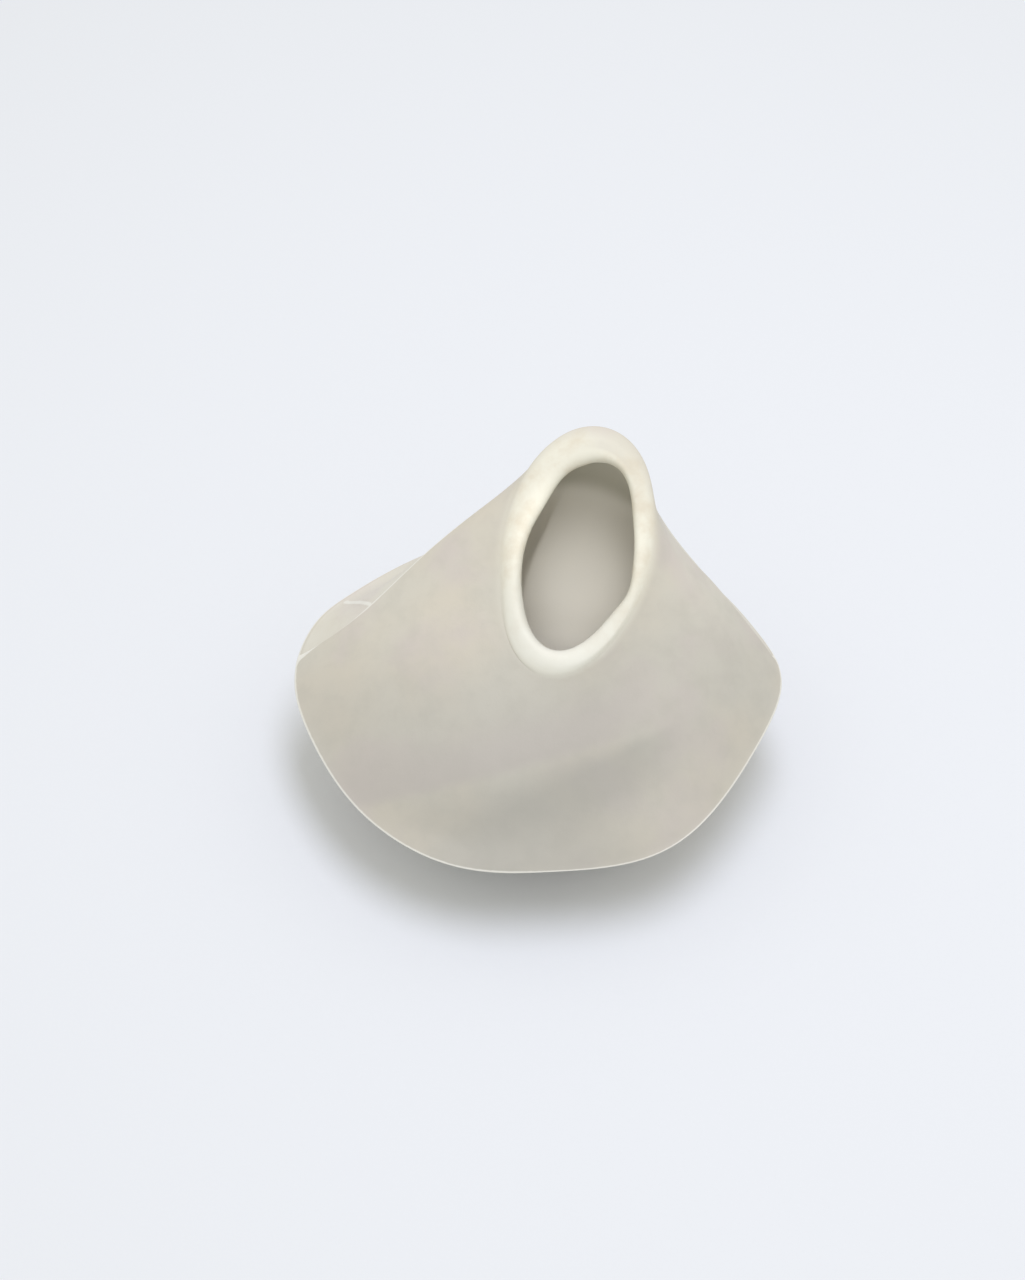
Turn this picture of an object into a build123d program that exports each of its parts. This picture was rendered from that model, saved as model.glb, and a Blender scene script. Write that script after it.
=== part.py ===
from build123d import *
import os
from math import atan2, cos, degrees, hypot, radians, sin

os.makedirs("parts", exist_ok=True)

# Hand-built pillow vase, in millimetres. It stands on the flat underside of its base slab,
# with +Z up, its open mouth facing forward along -Y and up, and +X to the right.

# The pillow's edge, where the front and back slabs meet, seen from above
pillow_width = 161.0
front_reach = 72.0
back_reach = 56.0
corner_setback = 2.0
front_edge_height = 27.0
back_edge_height = 49.0

# The clay slabs and the seam that joins them
wall = 5.0
cut_overrun = 2.0
seam_width = 8.0
seam_setback = 5.0
seam_tilt = 58.0

# The base slab
base_thickness = 5.0
base_chamfer = 0.8
bowl_axis_back = 8.7

# The mouth: the middle of its opening, its inside half sizes and how it tilts and leans
mouth_right = 13.0
mouth_back = 12.0
mouth_height = 84.0
mouth_half_width = 19.9
mouth_half_length = 33.9
mouth_tilt = 40.0
mouth_lean = 14.7
neck_back_swell = 3.0

# The collar that forms the neck, and the roll of clay that finishes the lip
collar_margin = 6.0
collar_depth = 20.0
collar_stand = 6.0
lip_diameter = 6.6
lip_seat = 1.8
lip_setback = 0.4

# Sixteen stations round the pillow's edge, clockwise from the middle of the front, as shares
# of its half width and of its depth in front of or behind the corners
edge_shares = [
    (-0.02, -1.0), (-0.38, -0.951), (-0.706, -0.70), (-0.91, -0.343),
    (-1.0, 0.0), (-0.93, 0.355), (-0.79, 0.55), (-0.5, 0.805),
    (0.0, 1.0), (0.5, 0.83), (0.75, 0.59), (0.91, 0.30),
    (1.0, 0.0), (0.9, -0.33), (0.665, -0.74), (0.375, -0.95),
]
# The bearing, in degrees, of the point on the mouth that each station climbs to
mouth_bearings = [
    268, 242, 212, 184, 155, 138, 124, 106, 84, 62, 42, 25, 10, -14, -40, -66,
]
# How every second station climbs from edge to mouth: shares of its run and of its rise at
# three levels. The stations between take the mean of their neighbours.
climb_shares = [
    [(0.22, 0.27), (0.50, 0.55), (0.80, 0.78)],
    [(0.22, 0.27), (0.50, 0.55), (0.80, 0.78)],
    [(0.25, 0.25), (0.50, 0.50), (0.76, 0.75)],
    [(0.34, 0.18), (0.64, 0.50), (0.85, 0.78)],
    [(0.20, 0.30), (0.50, 0.60), (0.80, 0.86)],
    [(0.26, 0.20), (0.62, 0.48), (0.92, 0.74)],
    [(0.25, 0.25), (0.50, 0.50), (0.78, 0.74)],
    [(0.22, 0.27), (0.50, 0.55), (0.80, 0.78)],
]
# The underside, from the base's outline up to the edge: shares of the front's reach, of the
# back's reach and of the edge's height
bowl_shares = [(0.52, 0.52, 0.0), (0.72, 0.82, 0.21), (0.86, 0.97, 0.58)]

# Planes of the edge, the side seams and the mouth
depth_run = front_reach + back_reach
edge_rise = back_edge_height - front_edge_height
edge_tilt = degrees(atan2(edge_rise, depth_run))
edge_depth = hypot(depth_run, edge_rise)
front_depth = edge_depth * (front_reach - corner_setback) / depth_run
back_depth = edge_depth - front_depth
edge_slope = edge_rise / depth_run
corner_height = front_edge_height + (front_reach - corner_setback) * edge_slope
seam_height = front_edge_height + (front_reach + seam_setback) * edge_slope


def facing_forward(origin, tilt):
    """A plane across X that rises to the back by the given angle."""
    slope = radians(tilt)
    return Plane(origin=origin, x_dir=(1, 0, 0), z_dir=(0, -sin(slope), cos(slope)))


corners_middle = (0, -corner_setback, corner_height)
edge_plane = facing_forward(corners_middle, edge_tilt)
seam_plane = facing_forward((0, seam_setback, seam_height), seam_tilt)
mouth_middle = (mouth_right, mouth_back, mouth_height)
mouth_plane = facing_forward(mouth_middle, mouth_tilt).rotated((0, 0, -mouth_lean))
neck_plane = mouth_plane.shift_origin(mouth_plane.from_local_coords((0, neck_back_swell / 2)))
base_plane = Plane.XY.offset(base_thickness)


def edge_ring(inset):
    """The stations on the pillow's edge, drawn in by an inset."""
    half_width = pillow_width / 2 - inset
    points = []
    for across, along in edge_shares:
        depth = (front_depth if along < 0 else back_depth) - inset
        points.append(edge_plane.from_local_coords(Vector(half_width * across, depth * along)))
    return points


def mouth_ring(plane, half_width, half_length):
    """The stations on an oval of the mouth's plane."""
    bearings = [radians(bearing) for bearing in mouth_bearings]
    return [
        plane.from_local_coords(Vector(half_width * cos(b), half_length * sin(b)))
        for b in bearings
    ]


def climb(station, level):
    """A station's shares of run and rise at a level of the climb."""
    before = climb_shares[station // 2][level]
    after = climb_shares[(station + 1) // 2 % len(climb_shares)][level]
    return (before[0] + after[0]) / 2, (before[1] + after[1]) / 2


def climb_ring(low, high, level):
    """The ring of stations at a level between the edge and the mouth."""
    points = []
    for station, (start, end) in enumerate(zip(low, high)):
        run, rise = climb(station, level)
        step = end - start
        points.append(start + Vector(step.X * run, step.Y * run, step.Z * rise))
    return points


def bowl_ring(edge, front, back, height):
    """The ring of the underside at shares of the edge's reach and height."""
    points = []
    for point, (_, along) in zip(edge, edge_shares):
        reach = front + (back - front) * max(along, 0)
        deep = (point.Y - bowl_axis_back) * reach + bowl_axis_back
        points.append(Vector(point.X * reach, deep, point.Z * height))
    return points


def inner_ring(below, ring, above):
    """A ring one wall thickness inside the skin through three rings."""
    points = []
    count = len(ring)
    for station, point in enumerate(ring):
        around = ring[(station + 1) % count] - ring[station - 1]
        upward = above[station] - below[station]
        points.append(point + around.cross(upward).normalized() * wall)
    return points


def moved(ring, direction, amount):
    """A ring moved along a direction."""
    return [point + direction * amount for point in ring]


def hollow(rings, first, last, last_out):
    """The rings of the inside, run on past its first and last rings so that it cuts clear."""
    between = [inner_ring(*rings[i - 1:i + 2]) for i in range(1, len(rings) - 1)]
    start = moved(first, Vector(0, 0, -1), cut_overrun)
    end = moved(last, last_out, cut_overrun)
    return [start, first, *between, last, end]


def skin(rings):
    """The solid lofted through rings of stations."""
    wires = []
    for ring in rings:
        with BuildLine() as outline:
            Spline(*ring, periodic=True)
        wires.append(outline.wire())
    return Solid.make_loft(wires)


outer_edge = edge_ring(0)
inner_edge = edge_ring(seam_width)
inner_mouth = mouth_ring(mouth_plane, mouth_half_width, mouth_half_length)
outer_mouth = mouth_ring(
    neck_plane, mouth_half_width + wall, mouth_half_length + wall + neck_back_swell / 2
)
levels = range(len(climb_shares[0]))
hill_rings = [outer_edge, *[climb_ring(outer_edge, outer_mouth, i) for i in levels], outer_mouth]
bowl_rings = [*[bowl_ring(outer_edge, *shares) for shares in bowl_shares], outer_edge]
floor_ring = moved(bowl_rings[0], base_plane.z_dir, base_thickness)

# The hollow hill from the edge up to the mouth, before it is cut into slabs
with BuildPart() as hill:
    add(skin(hill_rings))
    add(skin(hollow(hill_rings, inner_edge, inner_mouth, mouth_plane.z_dir)), mode=Mode.SUBTRACT)

# The full bowl under the edge, before it is hollowed
with BuildPart() as bowl:
    add(skin(bowl_rings))

# The space that the collar takes out of the hill
with BuildPart() as collar_space:
    with BuildSketch(neck_plane.offset(-collar_depth)):
        Ellipse(
            mouth_half_width + wall + collar_margin,
            mouth_half_length + wall + neck_back_swell / 2 + collar_margin,
        )
    extrude(amount=collar_depth + collar_stand)

# Base slab: the flat oval floor that the vase stands on
with BuildPart() as base_slab:
    add(bowl.part)
    split(bisect_by=base_plane, keep=Keep.BOTTOM)
    chamfer(base_slab.faces().sort_by(Axis.Z)[0].edges(), length=base_chamfer)

# Back slab: the underside and the back, from the base up to the collar
with BuildPart() as hill_back:
    add(hill.part)
    split(bisect_by=seam_plane, keep=Keep.BOTTOM)
    add(collar_space.part, mode=Mode.SUBTRACT)

with BuildPart() as back_slab:
    add(bowl.part)
    split(bisect_by=base_plane, keep=Keep.TOP)
    add(skin(hollow(bowl_rings, floor_ring, inner_edge, edge_plane.z_dir)), mode=Mode.SUBTRACT)
    add(hill_back.part)

# Front slab: the apron from the front edge up to the collar
with BuildPart() as front_slab:
    add(hill.part)
    split(bisect_by=seam_plane, keep=Keep.TOP)
    add(collar_space.part, mode=Mode.SUBTRACT)

# Lip roll: a coil laid round the mouth and pressed flat onto the collar
lip_radius = lip_diameter / 2
lip_inset = lip_radius + lip_setback
path_half_width = mouth_half_width + wall - lip_inset
path_half_length = mouth_half_length + wall - lip_inset
path_corner = hypot(path_half_width, path_half_length)
path_excess = (path_half_length - path_half_width) * path_corner
end_radius = (path_corner**2 - path_excess) / (2 * path_half_length)
side_radius = (path_corner**2 + path_excess) / (2 * path_half_width)
end_offset = path_half_length - end_radius
side_offset = side_radius - path_half_width
side_angle = degrees(atan2(end_offset, side_offset))
end_angle = 90 - side_angle
with BuildPart() as lip_roll:
    with BuildLine(mouth_plane.offset(lip_radius - lip_seat)) as lip_path:
        CenterArc((-side_offset, 0), side_radius, -side_angle, 2 * side_angle)
        CenterArc((0, end_offset), end_radius, side_angle, 2 * end_angle)
        CenterArc((side_offset, 0), side_radius, 180 - side_angle, 2 * side_angle)
        CenterArc((0, -end_offset), end_radius, 180 + side_angle, 2 * end_angle)
    with BuildSketch(Plane(lip_path.wire() @ 0, z_dir=lip_path.wire() % 0)):
        Circle(lip_radius)
    sweep(path=lip_path.wire())
    split(bisect_by=mouth_plane, keep=Keep.TOP)

# Neck collar: the ring of clay that stands in the gap between the slabs and carries the lip
with BuildPart() as neck_collar:
    add(hill.part)
    add(collar_space.part, mode=Mode.INTERSECT)

pieces = {
    "base_slab": base_slab,
    "back_slab": back_slab,
    "front_slab": front_slab,
    "neck_collar": neck_collar,
    "lip_roll": lip_roll,
}
for name, piece in pieces.items():
    piece.part.label = name
    export_step(piece.part, f"parts/{name}.step")
    print(name, len(piece.part.solids()), round(piece.part.volume), piece.part.is_valid)
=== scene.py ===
"""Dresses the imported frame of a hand-built pillow vase: shapes, finishes, floor, light and camera."""
from contextlib import contextmanager
from copy import copy
from math import cos, pi, radians, sin

import bpy
import numpy as np
from bpy.props import FloatProperty, FloatVectorProperty, IntProperty, PointerProperty
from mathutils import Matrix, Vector
from mathutils.bvhtree import BVHTree


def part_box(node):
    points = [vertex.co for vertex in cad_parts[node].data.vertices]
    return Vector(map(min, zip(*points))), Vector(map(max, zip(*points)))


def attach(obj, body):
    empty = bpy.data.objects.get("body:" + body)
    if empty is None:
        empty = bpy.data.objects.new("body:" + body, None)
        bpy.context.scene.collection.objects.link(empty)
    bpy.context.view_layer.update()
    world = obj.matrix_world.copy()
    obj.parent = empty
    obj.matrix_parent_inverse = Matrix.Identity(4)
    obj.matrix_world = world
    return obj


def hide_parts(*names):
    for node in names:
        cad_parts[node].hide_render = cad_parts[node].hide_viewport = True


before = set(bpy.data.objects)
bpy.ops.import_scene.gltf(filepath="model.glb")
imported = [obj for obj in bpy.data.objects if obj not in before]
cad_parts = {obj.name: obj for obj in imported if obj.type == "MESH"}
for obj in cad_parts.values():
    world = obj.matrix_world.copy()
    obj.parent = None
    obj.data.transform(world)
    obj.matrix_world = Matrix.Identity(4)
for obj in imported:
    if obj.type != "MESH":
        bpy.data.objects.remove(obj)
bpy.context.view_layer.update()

bl_info = {
    "name": "Hand-built pillow vase",
    "version": (1, 0, 0),
    "blender": (4, 5, 0),
    "location": "View3D > Sidebar > Pillow vase",
    "description": "Models a slab-built pillow vase around its packed frame",
    "category": "Object",
}

MM = 0.001

# The frame's own measures, in metres
BODY_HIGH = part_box("back_slab")[1]
BASE_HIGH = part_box("base_slab")[1]
LIP_LOW, LIP_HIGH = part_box("lip_roll")
LIP_MIDDLE = (LIP_LOW + LIP_HIGH) / 2

# The pillow's edge
HALF_WIDTH = BODY_HIGH.x
FRONT_REACH = 72 * MM
BACK_REACH = BODY_HIGH.y
CORNER_SETBACK = 2 * MM
FRONT_EDGE_HEIGHT = 27 * MM
BACK_EDGE_HEIGHT = 49 * MM
BOWL_AXIS_BACK = 8.7 * MM
BASE_THICKNESS = BASE_HIGH.z

# The seam between front and back slab, which runs up both sides in one tilted plane
SEAM_SETBACK = 5 * MM
SEAM_TILT = 58

# The mouth, the collar around it and the lip
MOUTH_TILT = 40
MOUTH_TURN = 14.7
MOUTH_MIDDLE = (LIP_MIDDLE.x + 0.25 * MM, LIP_MIDDLE.y + MM, LIP_MIDDLE.z - 1.3 * MM)
MOUTH_HALF_WIDTH = 19.9 * MM
MOUTH_HALF_LENGTH = 33.9 * MM
NECK_BACK_SWELL = 3 * MM
COLLAR_MARGIN = 6 * MM
COLLAR_DEPTH = 20 * MM
LIP_SETBACK = 0.4 * MM

# Stations round the edge, clockwise from the middle of the front, as shares of the half width
# and of the depth in front of or behind the corners
EDGE_SHARES = (
    (-0.02, -1.0), (-0.38, -0.951), (-0.706, -0.70), (-0.91, -0.343),
    (-1.0, 0.0), (-0.93, 0.355), (-0.79, 0.55), (-0.5, 0.805),
    (0.0, 1.0), (0.5, 0.83), (0.75, 0.59), (0.91, 0.30),
    (1.0, 0.0), (0.9, -0.33), (0.665, -0.74), (0.375, -0.95),
)
# The bearing, in degrees, of the point on the mouth that each station climbs to
MOUTH_BEARINGS = (268, 242, 212, 184, 155, 138, 124, 106, 84, 62, 42, 25, 10, -14, -40, -66)
# Shares of run and rise, at three levels, for every second station's climb to the mouth
FRONT_CLIMB = ((0.22, 0.27), (0.50, 0.55), (0.80, 0.78))
CLIMB_SHARES = (
    FRONT_CLIMB,
    FRONT_CLIMB,
    ((0.25, 0.25), (0.50, 0.50), (0.76, 0.75)),
    ((0.34, 0.18), (0.64, 0.50), (0.85, 0.78)),
    ((0.20, 0.30), (0.50, 0.60), (0.80, 0.86)),
    ((0.26, 0.20), (0.62, 0.48), (0.92, 0.74)),
    ((0.25, 0.25), (0.50, 0.50), (0.78, 0.74)),
    FRONT_CLIMB,
)
# Shares of the front's reach, of the back's reach and of the edge's height for the underside
BOWL_SHARES = ((0.52, 0.52, 0.0), (0.72, 0.82, 0.21), (0.86, 0.97, 0.58))

# Rows of the skin: shares of the way up the hill, the collar and the bowl, out under the base, up
# the base and out on the floor, then down the inside of the hill and the bowl
HILL_ROWS = (0.022, 0.06, 0.12, 0.20, 0.28, 0.36, 0.44, 0.52, 0.60, 0.68, 0.76, 0.84, 0.92, 1.0)
COLLAR_ROWS = (0.35, 0.68)
BOWL_ROWS = (0.12, 0.26, 0.40, 0.55, 0.70, 0.83, 0.93, 0.98)
UNDER_ROWS = (0.0, 0.5, 0.9, 0.97)
BASE_ROWS = (0.25, 0.6, 1.0)
FLOOR_ROWS = (0.93, 0.55, 0.0)
INNER_HILL_ROWS = (0.88, 0.75, 0.62, 0.49, 0.36, 0.24, 0.12)
INNER_BOWL_ROWS = (0.88, 0.74, 0.60, 0.45, 0.30, 0.15)
# The lip's section from its outer foot over the crest to the inside: shares of its reach out or
# in from the middle of the roll, shares of its radius for the height, and its share of glaze
LIP_FOOT = (1.0, 0.03, 0.45)
LIP_SECTION = (
    (0.72, 0.36, 0.7), (0.40, 0.66, 1.0), (0.05, 0.82, 1.0), (-0.35, 0.84, 1.0),
    (-0.68, 0.66, 1.0), (-0.92, 0.28, 1.0), (-1.0, -0.15, 1.0), (-0.95, -0.62, 1.0),
)
# How far the lip's foot reaches out, its inside is drawn in and the neck below it swells, in
# millimetres at every 30 degrees of bearing round the mouth from the right by the back
LIP_REACH = (2.8, 3.8, 6.6, 8.4, 7.5, 5.6, 4.4, 3.8, 5.8, 4.6, 1.8, 1.5)
LIP_DRAWN = (0.2, 0.6, -0.9, 1.0, 1.5, 1.8, 0.2, -0.1, -0.4, 1.1, 2.1, 1.4)
NECK_SWELL = (-0.6, 0.0, 0.8, 1.4, 0.8, 0.2, 0.0, 0.0, 0.0, 0.0, -1.8, -2.4)
# How the step at the seam falls off over the columns of the front slab and of the back slab
FRONT_STEP = (0.9, 0.8, 0.5, 0.2)
BACK_STEP = (0.4, 0.35, 0.2)
# Columns of the skin on each slab, the steps round it and along a row that these are found with,
# and how close points are to be made one
BACK_COLUMNS = 58
FRONT_COLUMNS = 60
DENSE_STEPS = 1600
ROW_STEPS = 900
MERGE_DISTANCE = 0.00001

# Thin glaze on the back slab, and the bearing at which glaze runs furthest down the neck
BACK_GLAZE = 0.37
RUN_BEARING = 140

# Ends of the pleat in the back slab, in millimetres, from the edge to the seam
DART = ((-64.6, 26.7, 45.6), (-55.6, 14.9, 57.7))

# Pieces in the order of their numbers on the skin
PIECES = ("base_slab", "back_slab", "front_slab", "neck_collar", "lip_roll")
SKIN = "vase_skin"

# The photograph's camera: where it looks, from how far and how high, and its framing
PHOTO_WIDTH = 1025
PHOTO_HEIGHT = 1280
AIM = Vector((0, -8, 52)) * MM
AIM_PIXEL = (538, 668)
CAMERA_DISTANCE = 990 * MM
CAMERA_ELEVATION = 50
CAMERA_LENS = 85.3
SENSOR_WIDTH = 36

# The lights: where the key light lies for each metre of its height, then the way to the mouth
# light, its distance, the point of the mouth that it is aimed at, its angle and its own radius
KEY_TOWARDS = Vector((0.10, 0.02, 1.0))
SPOT_TOWARDS = Vector((-0.03, -0.50, 0.86)).normalized()
SPOT_DISTANCE = 0.35
SPOT_AIM = (-1.4 * MM, 4.8 * MM)
SPOT_ANGLE = 7.1
SPOT_RADIUS = 0.008


def linear(red, green, blue):
    """A colour given in display values of 0 to 255, as the linear values that Blender uses."""
    shares = [value / 255 for value in (red, green, blue)]
    return tuple(
        share / 12.92 if share <= 0.04045 else ((share + 0.055) / 1.055) ** 2.4
        for share in shares
    )


def smooth_step(value, low, high):
    """0 below low, 1 above high and an even rise between."""
    share = np.clip((value - low) / (high - low), 0, 1)
    return share * share * (3 - 2 * share)


def bell(value, middle, width):
    """1 at the middle, with a smooth fall to 0 on both sides."""
    return np.exp(-(((value - middle) / width) ** 2))


class PlaneFrame:
    """A plane that rises to the back and can turn about the vertical.

    Its own directions run to the right, up its slope and out of it.
    """

    def __init__(self, origin, tilt, turn=0):
        slope, swing = radians(tilt), radians(turn)
        self.origin = np.array(origin, float)
        self.right = np.array((cos(swing), -sin(swing), 0))
        self.out = np.array((-sin(slope) * sin(swing), -sin(slope) * cos(swing), cos(slope)))
        self.up = np.cross(self.out, self.right)

    def point(self, across, along, above=0):
        """The place of points given in the plane's own directions."""
        parts = [np.asarray(value, float)[..., None] for value in (across, along, above)]
        return self.origin + parts[0] * self.right + parts[1] * self.up + parts[2] * self.out

    def local(self, points):
        """Points given in the plane's own directions."""
        offset = points - self.origin
        return offset @ self.right, offset @ self.up, offset @ self.out

    def shifted(self, along):
        """The same plane with its origin moved up its slope."""
        moved = copy(self)
        moved.origin = self.origin + self.up * along
        return moved


EDGE_SLOPE = (BACK_EDGE_HEIGHT - FRONT_EDGE_HEIGHT) / (FRONT_REACH + BACK_REACH)
CORNER_HEIGHT = FRONT_EDGE_HEIGHT + (FRONT_REACH - CORNER_SETBACK) * EDGE_SLOPE
SEAM_HEIGHT = FRONT_EDGE_HEIGHT + (FRONT_REACH + SEAM_SETBACK) * EDGE_SLOPE
EDGE_PLANE = PlaneFrame((0, -CORNER_SETBACK, CORNER_HEIGHT), np.degrees(np.arctan(EDGE_SLOPE)))
SEAM_PLANE = PlaneFrame((0, SEAM_SETBACK, SEAM_HEIGHT), SEAM_TILT)
MOUTH_PLANE = PlaneFrame(MOUTH_MIDDLE, MOUTH_TILT, MOUTH_TURN)
NECK_PLANE = MOUTH_PLANE.shifted(NECK_BACK_SWELL / 2)


def closed_controls(ring):
    """Control points of the closed cubic curve that passes through a ring of stations."""
    same = np.eye(len(ring))
    mix = (4 * same + np.roll(same, 1, 0) + np.roll(same, -1, 0)) / 6
    return np.linalg.solve(mix, ring)


def along_ring(controls, station):
    """Points of a closed cubic curve at fractional stations."""
    start = np.floor(station).astype(int)
    part = (station - start)[..., None]
    weights = (
        (1 - part) ** 3,
        3 * part**3 - 6 * part**2 + 4,
        1 + 3 * part + 3 * part**2 - 3 * part**3,
        part**3,
    )
    picks = [controls[(start + step) % len(controls)] for step in (-1, 0, 1, 2)]
    return sum(weight * pick for weight, pick in zip(weights, picks)) / 6


class Loft:
    """A smooth surface through rings of stations, read at a station and a level from 0 to 1."""

    def __init__(self, rings):
        rings = np.array(rings)
        steps = np.linalg.norm(np.diff(rings, axis=0), axis=2).mean(1)
        self.levels = np.concatenate(([0], np.cumsum(steps))) / steps.sum()
        self.controls = [closed_controls(ring) for ring in rings]

    def at(self, station, level):
        """Points at stations and levels of the same shape."""
        points = 0
        for index, own in enumerate(self.levels):
            weight = np.ones_like(level)
            for other in np.delete(self.levels, index):
                weight = weight * (level - other) / (own - other)
            points = points + weight[..., None] * along_ring(self.controls[index], station)
        return points


def edge_ring(front_inset=0.0, back_inset=0.0):
    """The stations on the pillow's edge, drawn in by an inset in front and one behind."""
    slant = np.hypot(1, EDGE_SLOPE)
    across, along = np.array(EDGE_SHARES).T
    inset = front_inset + (back_inset - front_inset) * smooth_step(along, -0.2, 0.6)
    front = (FRONT_REACH - CORNER_SETBACK) * slant - inset
    back = (BACK_REACH + CORNER_SETBACK) * slant - inset
    return EDGE_PLANE.point(across * (HALF_WIDTH - inset), along * np.where(along < 0, front, back))


def mouth_ring(plane, half_width, half_length):
    """The stations on an oval of the mouth."""
    bearing = np.radians(MOUTH_BEARINGS)
    return plane.point(half_width * np.cos(bearing), half_length * np.sin(bearing))


def climb_rings(low, high):
    """The rings at three levels between the edge and the mouth."""
    rings = []
    for level in range(3):
        shares = np.array([climb[level] for climb in CLIMB_SHARES])
        shares = np.stack((shares, (shares + np.roll(shares, -1, 0)) / 2), 1).reshape(-1, 2)
        rings.append(low + (high - low) * shares[:, [0, 0, 1]])
    return rings


def bowl_rings(edge):
    """The rings of the underside, from the base's outline up to the edge."""
    rings = []
    behind = np.clip(np.array(EDGE_SHARES)[:, 1], 0, 1)
    axis = np.array((0, BOWL_AXIS_BACK, 0))
    for front, back, height in BOWL_SHARES:
        reach = front + (back - front) * behind
        share = np.stack((reach, reach, np.full_like(reach, height)), 1)
        rings.append(axis + (edge - axis) * share)
    return [*rings, edge]


def inner_rings(rings, wall):
    """The middle rings of a loft, moved inwards by the wall."""
    moved = []
    for below, ring, above in zip(rings, rings[1:], rings[2:]):
        around = np.roll(ring, -1, 0) - np.roll(ring, 1, 0)
        inward = np.cross(around, above - below)
        moved.append(ring + wall * inward / np.linalg.norm(inward, axis=1)[:, None])
    return moved


def spaced(span, count, margins):
    """Distances along a span: evenly spread, with closer steps by both of its ends."""
    inner = np.linspace(margins[-1], span - margins[-1], count - 2 * len(margins) + 1)
    return np.concatenate(((0,), margins[:-1], inner, span - np.array(margins[-2::-1]), (span,)))


def round_vase(values, index):
    """Values given at the dense steps round the vase, read at any index."""
    closed = np.append(values, values[0])
    return np.interp(index % DENSE_STEPS, np.arange(DENSE_STEPS + 1), closed)


def round_mouth(values, bearing):
    """A length that changes smoothly round the mouth, from values in millimetres at even bearings."""
    controls = closed_controls(np.array(values)[:, None])
    return along_ring(controls, bearing / (2 * pi) * len(values))[:, 0] * MM


def mouth_bearing(points, half_width, half_length):
    """The bearing of points round an oval of the mouth."""
    across, along, _ = MOUTH_PLANE.local(points)
    return np.arctan2(along / half_length, across / half_width)


def frame_surface(*names):
    """The surface of some of the frame's nodes, for casting rays at."""
    corners = []
    faces = []
    for name in names:
        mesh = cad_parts[name].data
        start = len(corners)
        corners.extend(vertex.co.copy() for vertex in mesh.vertices)
        faces.extend([start + index for index in face.vertices] for face in mesh.polygons)
    return BVHTree.FromPolygons(corners, faces)


def outward(loft, columns, level):
    """Directions out of a loft's skin."""
    small = 0.01
    around = loft.at(columns + small, level) - loft.at(columns - small, level)
    upward = loft.at(columns, level + small) - loft.at(columns, level - small)
    out = np.cross(upward, around)
    return out / np.linalg.norm(out, axis=1)[:, None]


def laid_on(surface, loft, columns, level):
    """Points of a loft, moved onto a surface where it is in reach, and the directions out."""
    reach = 9 * MM
    out = outward(loft, columns, level)
    points = loft.at(columns, level)
    for index, (point, way) in enumerate(zip(points, out)):
        hit = surface.ray_cast(Vector(point + way * reach), Vector(-way), 2 * reach)[0]
        if hit is not None:
            points[index] = hit
    return points, out


def pale_line(share):
    """How pale the columns of a hill row are along the seams, fainter low down at the left one: thin
    glaze on the seams' edges, partly painted highlight where they catch the light.
    """
    pale = np.zeros(BACK_COLUMNS + FRONT_COLUMNS + 2)
    fade = 1 - smooth_step(share, 0.75, 0.98)
    line_strength = 1 - 0.6 * smooth_step(share, 0.03, 0.1) + 0.6 * smooth_step(share, 0.24, 0.34)
    pale[[0, -1]] = line_strength * fade
    pale[-2] = 0.45 * line_strength * fade
    pale[[BACK_COLUMNS, BACK_COLUMNS + 1]] = 0.5 * fade
    pale[BACK_COLUMNS + 2] = 0.22 * fade
    return pale


def swollen(points, share):
    """Points of the collar, moved out or in where the neck is thick or thin."""
    across, along, _ = MOUTH_PLANE.local(points)
    bearing = mouth_bearing(points, MOUTH_HALF_WIDTH, MOUTH_HALF_LENGTH)
    swell = round_mouth(NECK_SWELL, bearing) * share / np.hypot(across, along)
    sideways = (across * swell)[:, None] * MOUTH_PLANE.right
    return points + sideways + (along * swell)[:, None] * MOUTH_PLANE.up


def neck_glaze(points, share):
    """How much glaze a row of the collar has: most at the upper left, some at the lower left."""
    bearing = np.degrees(mouth_bearing(points, MOUTH_HALF_WIDTH, MOUTH_HALF_LENGTH))
    away = (bearing - RUN_BEARING + 180) % 360 - 180
    run = 0.08 + 0.42 * bell(away, 0, 60) + 0.25 * bell(away, 95, 35)
    return smooth_step(share, 0, 0.9) * run


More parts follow.
